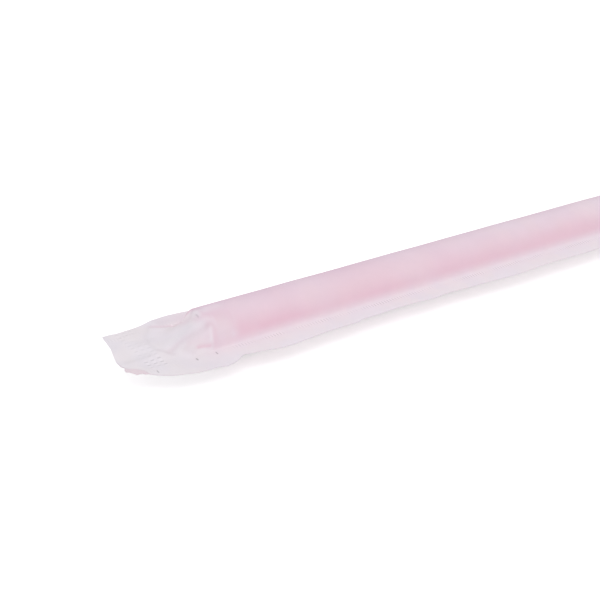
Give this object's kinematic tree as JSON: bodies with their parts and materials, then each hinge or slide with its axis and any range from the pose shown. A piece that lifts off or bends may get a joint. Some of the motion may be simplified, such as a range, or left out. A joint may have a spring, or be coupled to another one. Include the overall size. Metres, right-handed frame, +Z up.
{
  "type": "wrapped drinking straw",
  "caption": "Plastic drinking straw sealed in a thin translucent paper sleeve with crimped side fins and gathered, crimped ends.",
  "frame": {"origin": "on the flat spot that the sleeve rests on, under the middle of the straw", "axes": "+X along the straw, away from the torn end; +Y across it, towards the far fin; +Z up"},
  "size_m": [0.2228, 0.0159, 0.0079],
  "materials": {
    "straw_plastic": "smooth red polypropylene with a soft gloss",
    "sleeve_paper": "thin translucent white tissue paper, crimped and crinkled, tinted where it lies on the straw"
  },
  "bodies": {
    "root": {"straw": "straw_plastic", "upper_paper_strip": "sleeve_paper", "lower_paper_strip": "sleeve_paper"}
  },
  "joints": []
}
